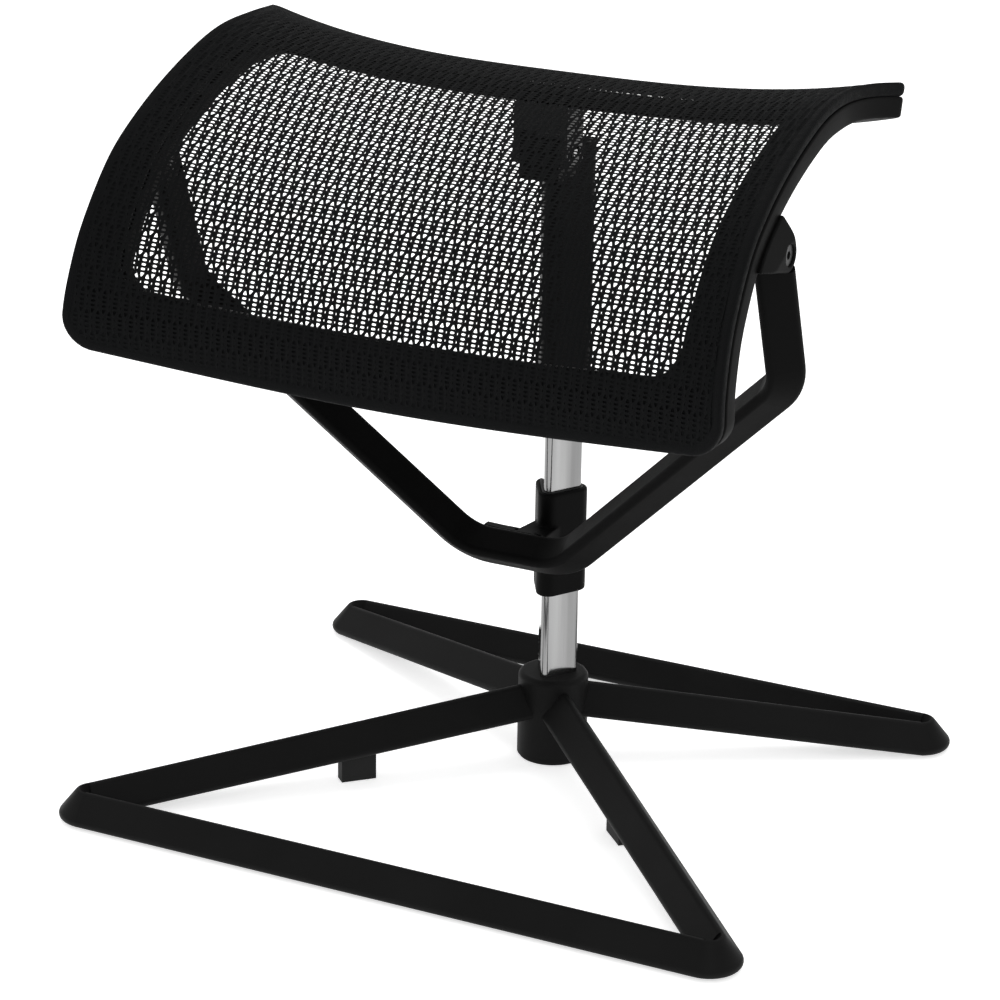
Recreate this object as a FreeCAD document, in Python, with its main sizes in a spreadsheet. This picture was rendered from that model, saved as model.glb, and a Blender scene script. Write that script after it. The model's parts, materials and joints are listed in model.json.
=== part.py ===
import FreeCAD, Part
import Sketcher
import math
import os

# Mesh leg rest on a height-adjustable post.
# Millimetres. X runs across the rest, -Y is the front, Z is up.
# Origin: on the floor, under the axis of the post.

doc = FreeCAD.newDocument("MeshLegRest")
dims = doc.addObject("Spreadsheet::Sheet", "Dims")

DIMENSIONS = [
    ("arm_start", 12.0), ("crest_step", 2.0),
    ("base_half_width", 260.0), ("base_front", 281.2), ("base_rear", 163.6),
    ("loop_half_base", 11.0), ("loop_rise", 15.8), ("loop_round", 4.0),
    ("corner_radius", 23.7), ("glide_height", 1.5), ("glide_radius", 9.0),
    ("arm_hub_bottom", 35.0), ("arm_rise", 18.0),
    ("hub_radius", 25.75), ("hub_bottom", 2.0), ("hub_top", 66.0), ("hub_socket", 52.0),
    ("tube_side", 22.0), ("tube_round", 4.3), ("tube_wall", 2.5), ("running_fit", 0.06),
    ("post_bottom", 14.0), ("post_top", 380.0),
    ("bolt_radius", 4.0), ("washer_radius", 11.0), ("washer_thick", 2.0),
    ("sleeve_bottom", 131.0), ("sleeve_height", 79.0), ("sleeve_wall", 4.5),
    ("liner_wall", 1.5), ("liner_length", 24.0),
    ("yoke_side", 18.0), ("yoke_round", 4.3), ("yoke_lean", 20.3), ("yoke_turn", 38.0),
    ("yoke_bar_y", 68.3), ("yoke_bar_z", 181.5), ("yoke_bend_x", 37.6), ("yoke_rise_angle", 46.0),
    ("yoke_arm_x", 224.4), ("yoke_low_bend", 40.0), ("yoke_high_bend", 36.0),
    ("hinge_z", 459.0), ("knuckle_radius", 11.5), ("tongue_width", 10.0), ("side_gap", 0.5),
    ("hinge_pin", 4.0), ("hinge_head", 7.0), ("hinge_head_thick", 4.0), ("hinge_fit", 0.05),
    ("panel_half_width", 240.0), ("panel_waist_half", 228.0), ("panel_rear_flare", 16.0), ("flare_start", 0.80),
    ("flare_front", 14.5), ("flare_rear", 21.5), ("bottom_bow", 14.0),
    ("fabric_thick", 1.2), ("carrier_thick", 8.0), ("layer_gap", 0.3),
    ("frame_thick", 12.0), ("frame_rear_thick", 14.0),
    ("window_half_width", 204.0), ("window_bottom", 51.0), ("window_rear", 46.0),
    ("guide_bottom", 264.0), ("guide_height", 202.0), ("guide_wall", 4.5),
    ("head_width", 30.0), ("head_front", 42.0), ("head_height", 22.0), ("head_lug_height", 31.0),
    ("pivot_y", 30.0), ("pivot_z", 466.0), ("pivot_pin", 3.0),
    ("ear_thick", 5.0), ("ear_slot", 7.0),
    ("foot_length", 26.0), ("foot_width", 10.0), ("foot_radius_from_hub", 151.0),
    ("screw_radius", 2.5), ("screw_head", 4.5),
]
for row, (name, value) in enumerate(DIMENSIONS, start=1):
    dims.set("A%d" % row, name)
    dims.set("B%d" % row, str(value))
    dims.setAlias("B%d" % row, name)
doc.recompute()

SIDES = (-1, 1)


def d(name):
    """Value of a named dimension, in millimetres or degrees."""
    value = dims.get(name)
    return float(getattr(value, "Value", value))


def vec(x, y, z):
    return FreeCAD.Vector(x, y, z)


def frame_at(origin, x_axis, y_axis):
    """Placement whose local x and y run along the two given directions."""
    x_axis = FreeCAD.Vector(x_axis).normalize()
    z_axis = x_axis.cross(y_axis).normalize()
    y_axis = z_axis.cross(x_axis)
    matrix = FreeCAD.Matrix(
        x_axis.x, y_axis.x, z_axis.x, origin.x,
        x_axis.y, y_axis.y, z_axis.y, origin.y,
        x_axis.z, y_axis.z, z_axis.z, origin.z,
        0, 0, 0, 1)
    return FreeCAD.Placement(matrix)


def new_body(label):
    body = doc.addObject("PartDesign::Body", label)
    body.Label = label
    return body


def new_sketch(body, name, placement):
    """Sketch attached to the body's own XY plane, moved to the placement."""
    sketch = body.newObject("Sketcher::SketchObject", body.Name + "_" + name)
    plane = [f for f in body.Origin.OriginFeatures if f.Role == "XY_Plane"][0]
    sketch.AttachmentSupport = [(plane, "")]
    sketch.MapMode = "FlatFace"
    sketch.AttachmentOffset = placement
    return sketch


def level(z):
    return FreeCAD.Placement(vec(0, 0, z), FreeCAD.Rotation())


def across(x):
    """Sketch frame square to X: local x is Y, local y is Z."""
    return frame_at(vec(x, 0, 0), vec(0, 1, 0), vec(0, 0, 1))


def add_circle(sketch, x, y, radius, alias=None):
    index = sketch.addGeometry(Part.Circle(vec(x, y, 0), vec(0, 0, 1), radius), False)
    constraint = sketch.addConstraint(Sketcher.Constraint("Radius", index, radius))
    if alias:
        sketch.setExpression("Constraints[%d]" % constraint, "<<Dims>>.%s" % alias)
    return index


def add_polygon(sketch, points):
    for start, end in zip(points, points[1:] + points[:1]):
        add_line(sketch, start, end)


def add_line(sketch, start, end):
    sketch.addGeometry(Part.LineSegment(vec(*start, 0), vec(*end, 0)), False)


def add_arc(sketch, start, middle, end):
    sketch.addGeometry(Part.Arc(vec(*start, 0), vec(*middle, 0), vec(*end, 0)), False)


def rounded_corners(centres, radius):
    """Lines and arcs of a convex outline: circles at the centres, joined by tangents."""
    pieces = []
    count = len(centres)
    normals = []
    for k in range(count):
        ax, ay = centres[k]
        bx, by = centres[(k + 1) % count]
        length = math.hypot(bx - ax, by - ay)
        normals.append(((by - ay) / length, -(bx - ax) / length))
    for k in range(count):
        ax, ay = centres[k]
        bx, by = centres[(k + 1) % count]
        nx, ny = normals[k]
        px, py = normals[k - 1]
        mx, my = px + nx, py + ny
        size = math.hypot(mx, my)
        start = vec(ax + radius * px, ay + radius * py, 0)
        middle = vec(ax + radius * mx / size, ay + radius * my / size, 0)
        end = vec(ax + radius * nx, ay + radius * ny, 0)
        pieces.append(Part.Arc(start, middle, end))
        pieces.append(Part.LineSegment(end, vec(bx + radius * nx, by + radius * ny, 0)))
    return pieces


def add_rounded(sketch, centres, radius):
    for piece in rounded_corners(centres, radius):
        sketch.addGeometry(piece, False)


def triangle(side, turn=0.0, first=-90.0):
    """Corner centres of an equilateral triangle about its own middle."""
    reach = side / math.sqrt(3.0)
    angles = [math.radians(first + turn + 120.0 * k) for k in range(3)]
    return [(reach * math.cos(a), reach * math.sin(a)) for a in angles]


def pad(body, sketch, length, alias=None, midplane=False, reverse=False):
    feature = body.newObject("PartDesign::Pad", sketch.Name + "_pad")
    feature.Profile = sketch
    feature.Length = length
    if alias:
        feature.setExpression("Length", "<<Dims>>.%s" % alias)
    feature.Midplane = midplane
    feature.Reversed = reverse
    body.Tip = feature
    doc.recompute()
    return feature


def pocket(body, sketch, length=None, reverse=False, midplane=False):
    """Cut the sketch through everything, or to a length along the sketch's -z."""
    feature = body.newObject("PartDesign::Pocket", sketch.Name + "_pocket")
    feature.Profile = sketch
    if length is None:
        feature.Type = "ThroughAll"
        feature.Midplane = True
    else:
        feature.Length = length
        feature.Midplane = midplane
    feature.Reversed = reverse
    body.Tip = feature
    doc.recompute()
    return feature


def fillet_near(body, test, radius, name):
    """Round the edges of the body's tip that pass the test."""
    tip = body.Tip
    edges = ["Edge%d" % (k + 1) for k, e in enumerate(tip.Shape.Edges) if test(e)]
    feature = body.newObject("PartDesign::Fillet", body.Name + "_" + name)
    feature.Base = (tip, edges)
    feature.Radius = radius
    body.Tip = feature
    doc.recompute()
    return feature


def mirrored(body, features):
    """Mirror the given features to the other side of the YZ plane."""
    feature = body.newObject("PartDesign::Mirrored", body.Name + "_mirror")
    feature.Originals = features
    plane = [f for f in body.Origin.OriginFeatures if f.Role == "YZ_Plane"][0]
    feature.MirrorPlane = (plane, [""])
    body.Tip = feature
    doc.recompute()
    return feature


NODES = []


def keep(obj, label=None):
    if label:
        obj.Label = label
    NODES.append(obj)
    return obj


def keep_shape(label, shape):
    """A piece whose surface no sketch feature gives: its shape is set directly."""
    obj = doc.addObject("Part::Feature", label)
    obj.Label = label
    obj.Shape = shape
    return keep(obj)


# ---------------------------------------------------------------- base loops

def loop_section(rise):
    """Ridge-up triangular section, standing on z = 0, centred on x = 0."""
    r = d("loop_round")
    half = d("loop_half_base")
    return [(-half, r), (half, r), (0.0, r + rise - d("crest_step"))]


def make_loop(label, edge_y, toward):
    """One closed triangular loop: bar, two arms and two turned corners.

    toward is -1 for the front loop and 1 for the rear loop."""
    body = new_body(label)
    ground = d("glide_height")
    radius = d("corner_radius")
    r = d("loop_round")
    half = d("loop_half_base") + r
    centre_x = d("base_half_width") - radius
    centre_y = toward * (edge_y - radius)
    ridge = radius - half
    bar_y = toward * (edge_y - half)

    sketch = new_sketch(body, "bar", frame_at(vec(0, bar_y, ground), vec(0, 1, 0), vec(0, 0, 1)))
    add_rounded(sketch, loop_section(d("loop_rise")), r)
    pad(body, sketch, 2.0 * centre_x, midplane=True)

    reach = math.hypot(centre_x, centre_y)
    to_corner = math.atan2(abs(centre_y), centre_x)
    arm_angle = to_corner - math.asin(ridge / reach)
    arm_length = math.sqrt(reach ** 2 - ridge ** 2)
    for side in SIDES:
        along = vec(side * math.cos(arm_angle), toward * math.sin(arm_angle), 0)
        square = vec(-along.y, along.x, 0)
        near = new_sketch(body, "hub_end%d" % (side + 1), frame_at(
            along * d("arm_start") + vec(0, 0, d("arm_hub_bottom")), square, vec(0, 0, 1)))
        add_rounded(near, loop_section(d("arm_rise")), r)
        far = new_sketch(body, "far_end%d" % (side + 1), frame_at(
            along * arm_length + vec(0, 0, ground), square, vec(0, 0, 1)))
        add_rounded(far, loop_section(d("loop_rise")), r)
        loft = body.newObject("PartDesign::AdditiveLoft", label + "_arm%d" % (side + 1))
        loft.Profile = near
        loft.Sections = [far]
        loft.Ruled = True
        body.Tip = loft
        doc.recompute()

        # Turned corner from the bar's outer side round to the arm's outer side.
        sweep = 180.0 - math.degrees(arm_angle)
        corner = new_sketch(body, "corner%d" % (side + 1), frame_at(
            vec(side * centre_x, centre_y, ground), vec(0, toward, 0), vec(0, 0, 1)))
        peak = d("loop_rise") - d("crest_step")
        slope = math.atan2(peak, d("loop_half_base"))
        rim = radius - r
        axis = (0.0, 0.0)
        base = (rim, 0.0)
        low = (rim + r * math.sin(slope), r + r * math.cos(slope))
        toe_turn = 0.3
        toe = (rim + r * math.cos(toe_turn), r - r * math.sin(toe_turn))
        high = (ridge + r * math.sin(slope), r + peak + r * math.cos(slope))
        crest = (ridge + r * math.sin(slope / 2), r + peak + r * math.cos(slope / 2))
        top = (ridge, 2.0 * r + peak)
        inner = (0.0, 2.0 * r + peak - ridge * peak / d("loop_half_base"))
        add_line(corner, axis, base)
        add_arc(corner, base, toe, low)
        add_line(corner, low, high)
        add_arc(corner, high, crest, top)
        add_line(corner, top, inner)
        add_line(corner, inner, axis)
        revolve = body.newObject("PartDesign::Revolution", label + "_turn%d" % (side + 1))
        revolve.Profile = corner
        revolve.ReferenceAxis = (corner, ["V_Axis"])
        revolve.Angle = sweep
        revolve.Reversed = side * toward > 0
        body.Tip = revolve
        doc.recompute()

    hollow = new_sketch(body, "hub_seat", level(0))
    add_circle(hollow, 0, 0, d("hub_radius"), "hub_radius")
    pocket(body, hollow)
    keep(body)
    return arm_angle, arm_length


front_angle, front_length = make_loop("front_loop", d("base_front"), -1)
rear_angle, rear_length = make_loop("rear_loop", d("base_rear"), 1)

# ---------------------------------------------------------------- base hardware

def circle_body(label, x, y, z, radius, height, radius_alias=None, height_alias=None):
    body = new_body(label)
    sketch = new_sketch(body, "round", level(z))
    add_circle(sketch, x, y, radius, radius_alias)
    pad(body, sketch, height, height_alias)
    return body


def group(label, shapes):
    """Several identical separate solids kept as one node."""
    return keep_shape(label, Part.makeCompound(shapes))


def post_outline(sketch, wall=0.0):
    """Outline of the post's section; wall widens it, a negative wall shrinks it."""
    add_rounded(sketch, triangle(d("tube_side")), d("tube_round") + wall)


bolt_hole = d("bolt_radius") + 0.5
hub = circle_body("base_hub", 0, 0, d("hub_bottom"), d("hub_radius"),
                  d("hub_top") - d("hub_bottom"), "hub_radius")
hub.Tip.setExpression("Length", "<<Dims>>.hub_top - <<Dims>>.hub_bottom")
doc.recompute()
fillet_near(hub, lambda e: abs(e.BoundBox.ZMin - d("hub_top")) < 0.01
            and abs(e.BoundBox.ZMax - d("hub_top")) < 0.01, 4.0, "top_edge")
socket = new_sketch(hub, "socket", level(d("hub_top")))
post_outline(socket, d("running_fit"))
pocket(hub, socket, d("hub_socket"))
under = new_sketch(hub, "bolt_recess", level(d("hub_bottom")))
add_circle(under, 0, 0, d("washer_radius") + 1.5)
pocket(hub, under, 6.0, reverse=True)
bore = new_sketch(hub, "bolt_hole", level(0))
add_circle(bore, 0, 0, bolt_hole)
pocket(hub, bore)
keep(hub)

post = new_body("post_tube")
outline = new_sketch(post, "section", level(d("post_bottom")))
post_outline(outline)
pad(post, outline, d("post_top") - d("post_bottom"))
post.Tip.setExpression("Length", "<<Dims>>.post_top - <<Dims>>.post_bottom")
inside = new_sketch(post, "inside", level(d("post_bottom")))
post_outline(inside, -d("tube_wall"))
pocket(post, inside)
keep(post)

plug_length = 20.0
post_nut = new_body("post_threaded_plug")
plug = new_sketch(post_nut, "section", level(d("post_bottom") + 0.2))
post_outline(plug, -d("tube_wall") - 0.02)
pad(post_nut, plug, plug_length)
thread = new_sketch(post_nut, "thread", level(0))
add_circle(thread, 0, 0, d("bolt_radius") + 0.02)
pocket(post_nut, thread)
keep(post_nut)

bolt_seat = d("hub_bottom") + 6.0
keep(circle_body("hub_pad", 0, 0, 0.0, d("hub_radius") - 1.5, d("hub_bottom")))
washer = circle_body("post_washer", 0, 0, bolt_seat - d("washer_thick"), d("washer_radius"),
                     d("washer_thick"), "washer_radius", "washer_thick")
eye = new_sketch(washer, "eye", level(0))
add_circle(eye, 0, 0, d("bolt_radius") + 0.3)
pocket(washer, eye)
keep(washer)

head_height = 3.0
bolt = new_body("post_bolt")
hexagon = new_sketch(bolt, "hex", level(bolt_seat - d("washer_thick") - head_height))
hex_reach = 7.5
add_polygon(hexagon, [(hex_reach * math.cos(math.radians(60 * k)),
                       hex_reach * math.sin(math.radians(60 * k))) for k in range(6)])
pad(bolt, hexagon, head_height)
shank = new_sketch(bolt, "shank", level(bolt_seat - d("washer_thick")))
add_circle(shank, 0, 0, d("bolt_radius"), "bolt_radius")
pad(bolt, shank, d("washer_thick") + 24.0)
keep(bolt)

post_cap = new_body("post_top_plug")
cap = new_sketch(post_cap, "section", level(d("post_top") - 14.0))
post_outline(cap, -d("tube_wall") - 0.02)
pad(post_cap, cap, 14.0)
keep(post_cap)

glides = []
for toward, edge, name in ((-1, "base_front", "front"), (1, "base_rear", "rear")):
    for side in SIDES:
        x = side * (d("base_half_width") - d("corner_radius"))
        y = toward * (d(edge) - d("corner_radius"))
        glides.append(Part.makeCylinder(d("glide_radius"), d("glide_height"), vec(x, y, 0)))
group("corner_glides", glides)

feet = []
foot_reach = d("foot_radius_from_hub")
blend = (foot_reach - d("arm_start")) / (front_length - d("arm_start"))
foot_top = d("arm_hub_bottom") * (1 - blend) + d("glide_height") * blend
for side in SIDES:
    block = Part.makeBox(d("foot_length"), d("foot_width"), foot_top + 1.5,
                         vec(-d("foot_length") / 2, -d("foot_width") / 2, 0))
    along = vec(side * math.cos(front_angle), -math.sin(front_angle), 0)
    block.Placement = frame_at(along * foot_reach, along, vec(-along.y, along.x, 0))
    feet.append(block)
loop_shape = NODES[0].Shape
feet = [block.cut(loop_shape) for block in feet]
group("arm_feet", feet)

# ---------------------------------------------------------------- carriage

sleeve_low = d("sleeve_bottom")
sleeve_top = sleeve_low + d("sleeve_height")
sleeve = new_body("slide_sleeve")
outer = new_sketch(sleeve, "section", level(sleeve_low))
post_outline(outer, d("sleeve_wall"))
pad(sleeve, outer, d("sleeve_height"), "sleeve_height")


def level_edge(z):
    """Test for edges that lie flat at a height."""
    return lambda e: abs(e.BoundBox.ZMin - z) < 0.01 and abs(e.BoundBox.ZMax - z) < 0.01


fillet_near(sleeve, level_edge(sleeve_top), 2.0, "top_edge")
fillet_near(sleeve, level_edge(sleeve_low), 1.5, "low_edge")
boss_low = d("yoke_bar_z") - 13.0
boss_height = 16.5
boss_front = -(d("yoke_bar_y") - 5.0)
boss = new_sketch(sleeve, "boss", level(boss_low))
add_polygon(boss, [(-20.0, boss_front), (10.0, boss_front), (9.0, -2.0), (-11.0, -2.0)])
pad(sleeve, boss, boss_height)
channel = new_sketch(sleeve, "channel", level(sleeve_low))
post_outline(channel, 0.5)
pocket(sleeve, channel)
for number, z in enumerate((sleeve_low, sleeve_top - d("liner_length"))):
    seat = new_sketch(sleeve, "liner_seat%d" % number, level(z))
    post_outline(seat, d("liner_wall") + 0.02)
    pocket(sleeve, seat, d("liner_length"), reverse=True)
latch_hole_z = d("yoke_bar_z") - 4.0
latch_radius = 4.0
latch_bore = new_sketch(sleeve, "latch_bore", frame_at(vec(0, -34.0, latch_hole_z),
                                                       vec(1, 0, 0), vec(0, 0, 1)))
add_circle(latch_bore, 0, 0, latch_radius + 0.05)
pocket(sleeve, latch_bore, 34.0, reverse=False)
slot = new_sketch(sleeve, "lever_slot", level(d("yoke_bar_z") + 7.0))
lever_half = 3.5
slot_half = 7.0
lever_y = -44.0
stem_radius = 1.5
add_polygon(slot, [(-23.0, lever_y - slot_half), (6.0, lever_y - slot_half),
                   (6.0, lever_y + slot_half), (-23.0, lever_y + slot_half)])
pocket(sleeve, slot, 13.5)
stem_bore = new_sketch(sleeve, "stem_bore", frame_at(vec(0, -40.0, latch_hole_z),
                                                     vec(1, 0, 0), vec(0, 0, 1)))
add_circle(stem_bore, 0, 0, stem_radius + 0.1)
pocket(sleeve, stem_bore, 8.0)

for name, z in (("lower_liner", sleeve_low), ("upper_liner", sleeve_top - d("liner_length"))):
    liner = new_body(name)
    skin = new_sketch(liner, "skin", level(z))
    post_outline(skin, d("liner_wall"))
    pad(liner, skin, d("liner_length"), "liner_length")
    way = new_sketch(liner, "way", level(z))
    post_outline(way, d("running_fit"))
    pocket(liner, way)
    keep(liner)

lean = math.radians(d("yoke_lean"))
up = vec(0, -math.sin(lean), math.cos(lean))
back = vec(0, math.cos(lean), math.sin(lean))
bar = vec(0, -d("yoke_bar_y"), d("yoke_bar_z"))
hinge_reach = (d("hinge_z") - d("yoke_bar_z")) / math.cos(lean)
hinge = bar + up * hinge_reach

yoke = new_body("yoke")
section = new_sketch(yoke, "section", frame_at(bar, up, back * -1.0))
add_rounded(section, triangle(d("yoke_side"), d("yoke_turn"), first=30.0), d("yoke_round"))
path = new_sketch(yoke, "path", frame_at(bar, vec(1, 0, 0), up))
rise = math.radians(d("yoke_rise_angle"))
turns = [
    (0.0, 0.0),
    (d("yoke_bend_x"), 0.0),
    (d("yoke_arm_x"), (d("yoke_arm_x") - d("yoke_bend_x")) * math.tan(rise)),
    (d("yoke_arm_x"), hinge_reach - d("knuckle_radius") + 6.0),
]
radii = (d("yoke_low_bend"), d("yoke_high_bend"))


def bent_path(points, bend_radii):
    """Straight runs joined by arcs, in the plane of the path sketch."""
    pieces = []
    start = vec(points[0][0], points[0][1], 0)
    for k in range(1, len(points) - 1):
        here = vec(points[k][0], points[k][1], 0)
        before = (vec(points[k - 1][0], points[k - 1][1], 0) - here).normalize()
        after = (vec(points[k + 1][0], points[k + 1][1], 0) - here).normalize()
        half = before.getAngle(after) / 2
        radius = bend_radii[k - 1]
        enter = here + before * (radius / math.tan(half))
        leave = here + after * (radius / math.tan(half))
        toward = (before + after).normalize()
        middle = here + toward * (radius / math.sin(half) - radius)
        pieces.append(Part.LineSegment(start, enter))
        pieces.append(Part.Arc(enter, middle, leave))
        start = leave
    pieces.append(Part.LineSegment(start, vec(points[-1][0], points[-1][1], 0)))
    return pieces


for piece in bent_path(turns, radii):
    path.addGeometry(piece, False)
doc.recompute()
pipe = yoke.newObject("PartDesign::AdditivePipe", "yoke_pipe")
pipe.Profile = section
pipe.Spine = path
yoke.Tip = pipe
doc.recompute()
tongue = new_sketch(yoke, "tongue", frame_at(vec(d("yoke_arm_x") - d("tongue_width") / 2,
                                                 hinge.y, hinge.z), vec(0, 1, 0), vec(0, 0, 1)))
tongue_radius = 8.2
root = 14.5
down = (math.sin(lean), -math.cos(lean))
wide = (math.cos(lean) * tongue_radius, math.sin(lean) * tongue_radius)
front_side = (-wide[0], -wide[1])
tip = (-down[0] * tongue_radius, -down[1] * tongue_radius)
low_back = (wide[0] + down[0] * root, wide[1] + down[1] * root)
low_front = (front_side[0] + down[0] * root, front_side[1] + down[1] * root)
add_arc(tongue, front_side, tip, wide)
add_line(tongue, wide, low_back)
add_line(tongue, low_back, low_front)
add_line(tongue, low_front, front_side)
tongue_pad = pad(yoke, tongue, d("tongue_width"), "tongue_width")
mirror = mirrored(yoke, [pipe, tongue_pad])
# Round clearance for the knuckle on both sides of each tongue, then the pin bore.
gap = d("side_gap")
# Room for the lug's web when it tips forward (Y, Z from the hinge axis).
LUG_SWING = [(0.0, -11.9), (0.0, 8.0), (-32.0, 8.0), (-32.0, -13.0)]
for side in SIDES:
    for number, (x0, x1) in enumerate(((200.0, d("yoke_arm_x") - d("tongue_width") / 2),
                                       (d("yoke_arm_x") + d("tongue_width") / 2, 250.0))):
        face = new_sketch(yoke, "relief%d_%d" % (side + 1, number),
                          frame_at(vec(side * x0, hinge.y, hinge.z), vec(0, side, 0), vec(0, 0, 1)))
        add_circle(face, 0, 0, d("knuckle_radius") + gap)
        pocket(yoke, face, x1 - x0, reverse=True)
        front = new_sketch(yoke, "front_relief%d_%d" % (side + 1, number),
                           frame_at(vec(side * x0, hinge.y, hinge.z), vec(0, side, 0), vec(0, 0, 1)))
        add_polygon(front, [(side * y, z) for y, z in LUG_SWING])
        pocket(yoke, front, x1 - x0, reverse=True)
bore = new_sketch(yoke, "pin_bore", frame_at(vec(0, hinge.y, hinge.z), vec(0, 1, 0), vec(0, 0, 1)))
add_circle(bore, 0, 0, d("hinge_pin") + 1.5 + 0.02)
pocket(yoke, bore)
keep(yoke)

# The sleeve's boss is hollowed to seat against the bar of the yoke.
seated = doc.addObject("Part::Cut", "slide_sleeve_seated")
seated.Base = sleeve
seated.Tool = yoke
doc.recompute()
keep(seated, "slide_sleeve")
sleeve.Label = "sleeve_before_seat"
bushes = []
for side in SIDES:
    width = d("tongue_width")
    x = side * d("yoke_arm_x") - width / 2
    bush = Part.makeCylinder(d("hinge_pin") + 1.5, width, vec(x, hinge.y, hinge.z), vec(1, 0, 0))
    hole = Part.makeCylinder(d("hinge_pin") + d("hinge_fit"), width, vec(x, hinge.y, hinge.z), vec(1, 0, 0))
    bushes.append(bush.cut(hole))
group("hinge_bushes", bushes)


def rod(start, direction, radius, length):
    return Part.makeCylinder(radius, length, start, direction)


lever_low = d("yoke_bar_z") - 5.0
lever_thick = 12.5
lever_pin_x = -11.0
lever = new_body("lock_lever")
blade = new_sketch(lever, "blade", level(lever_low))
add_polygon(blade, [(-36.0, lever_y - 1.5), (-22.0, lever_y - lever_half), (3.5, lever_y - lever_half),
                    (3.5, lever_y + lever_half), (-22.0, lever_y + lever_half),
                    (-36.0, lever_y + 4.5)])
pad(lever, blade, lever_thick)
pivot = new_sketch(lever, "pivot", level(0))
add_circle(pivot, lever_pin_x, lever_y, 1.5 + 0.05)
pocket(lever, pivot)
window = new_sketch(lever, "stem_way", frame_at(vec(0, 0, latch_hole_z), vec(1, 0, 0), vec(0, 0, 1)))
add_circle(window, 0, 0, stem_radius + 0.7)
pocket(lever, window)
keep(lever)

lever_pin = new_body("lever_pin")
pin = new_sketch(lever_pin, "round", level(d("yoke_bar_z") - 13.0 + 1.0))
add_circle(pin, lever_pin_x, lever_y, 1.5)
pad(lever_pin, pin, 17.0)
keep(lever_pin)
pin_hole = doc.addObject("Part::Cut", "slide_sleeve_pinned")
pin_hole.Base = seated
pin_hole.Tool = lever_pin
doc.recompute()
NODES[NODES.index(seated)] = pin_hole
pin_hole.Label = "slide_sleeve"
seated.Label = "sleeve_before_pin"

post_nose = d("tube_side") / math.sqrt(3.0) + d("tube_round")
latch = new_body("latch_plunger")
square_y = [vec(1, 0, 0), vec(0, 0, 1)]
stages = (("pad", -post_nose - 0.02, latch_radius, 10.0), ("stem", -26.0, stem_radius, 22.2),
          ("button", lever_y - lever_half - 0.5, 2.4, 1.2))
for name, y, radius, length in stages:
    stage = new_sketch(latch, name, frame_at(vec(0, y, latch_hole_z), *square_y))
    add_circle(stage, 0, 0, radius)
    pad(latch, stage, length)
keep(latch)

spring_end = -33.8
spring_start = -post_nose - 0.02 - 10.0 - 0.3
wire = 0.4
coil_pitch = 1.5
coil_length = spring_start - spring_end - 2 * wire
helix = Part.makeHelix(coil_pitch, coil_length, 2.6)
ring = Part.Wire([Part.makeCircle(wire, vec(2.6, 0, 0), vec(0, 1, 0))])
coil = Part.Wire(helix.Edges).makePipeShell([ring], True, True)
coil.Placement = frame_at(vec(0, spring_start - wire, latch_hole_z), vec(1, 0, 0), vec(0, 0, 1))
keep_shape("latch_spring", coil)

# ---------------------------------------------------------------- panel

# Outer line of the panel at its two ends, from the lower front edge to the rear edge (Y, Z).
PROFILE = [(-278.5, 356), (-276.5, 387), (-270, 409.5), (-262, 428.5), (-251, 446.5), (-238, 464),
           (-222, 481), (-202, 495.5), (-178.5, 509), (-152.5, 521), (-124.5, 531.5),
           (-93.5, 540), (-58, 543), (-19.5, 540), (18.5, 531.5)]
profile = Part.BSplineCurve()
profile.interpolate([vec(0, y, z) for y, z in PROFILE])
profile_length = profile.length()
half_front = d("panel_half_width")
half_waist = d("panel_waist_half")


def panel_point(x, s, depth):
    """Point at distance s along the profile, depth below the outer face."""
    along = min(max(s, 0.0), profile_length)
    u = profile.parameterAtDistance(along, profile.FirstParameter)
    point = profile.value(u)
    tangent = profile.tangent(u)[0].normalize()
    point = point + tangent * (s - along)
    inward = vec(0, tangent.z, -tangent.y)
    blend = along / profile_length
    flare = d("flare_front") + (d("flare_rear") - d("flare_front")) * blend ** 2
    sag = flare * (1 - min(1.0, abs(x) / half_front) ** 3)
    point = point + inward * (depth + sag)
    return vec(x, point.y, point.z)


def rounding(x, half, radius):
    """How far a rounded corner steps in at x."""
    over = min(max(abs(x) - (half - radius), 0.0), radius)
    return radius - math.sqrt(radius ** 2 - over ** 2)


def panel_layer(top, bottom, low, high, half_low, half_high, round_low, round_high, stations):
    """Closed curved slab between two depths; low and high count along the profile."""
    wires = []
    samples = 16
    for x in stations:
        bow = d("bottom_bow") * (1 - (x / half_front) ** 2)
        s0 = low - bow + rounding(x, half_low, round_low)
        s1 = high - rounding(x, half_high, round_high)
        steps = [s0 + (s1 - s0) * k / samples for k in range(samples + 1)]
        outer = Part.BSplineCurve()
        outer.interpolate([panel_point(x, s, top(s)) for s in steps])
        inner = Part.BSplineCurve()
        inner.interpolate([panel_point(x, s, bottom(s)) for s in steps])
        a, b = outer.toShape(), inner.toShape()
        ends = [Part.makeLine(a.Vertexes[-1].Point, b.Vertexes[-1].Point),
                Part.makeLine(b.Vertexes[0].Point, a.Vertexes[0].Point)]
        wires.append(Part.Wire([a, ends[0], b.reversed(), ends[1]]))
    return Part.makeLoft(wires, True, True)


def both_ways(values):
    return [-v for v in reversed(values) if v > 0] + list(values)


PANEL_STATIONS = both_ways([0, 60, 110, 150, 180, 200, 210, 218, 224, 228, 230, 232, 234, 235.4,
                            236, 237, 238.5, 240, 242, 244, 247])
WINDOW_STATIONS = both_ways([0, 60, 110, 150, 175, 186, 192, 197, 201, 203.4, 204])
CORNER_LOW, CORNER_HIGH, CORNER_WINDOW = 22.0, 8.0, 18.0


def constant(value):
    return lambda s: value


def frame_depth(s):
    """Lower face of the frame: deeper along the rear rail."""
    start = profile_length - 90.0
    blend = min(max((s - start) / 40.0, 0.0), 1.0)
    blend = blend * blend * (3 - 2 * blend)
    return frame_top + d("frame_thick") + (d("frame_rear_thick") - d("frame_thick")) * blend


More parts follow.
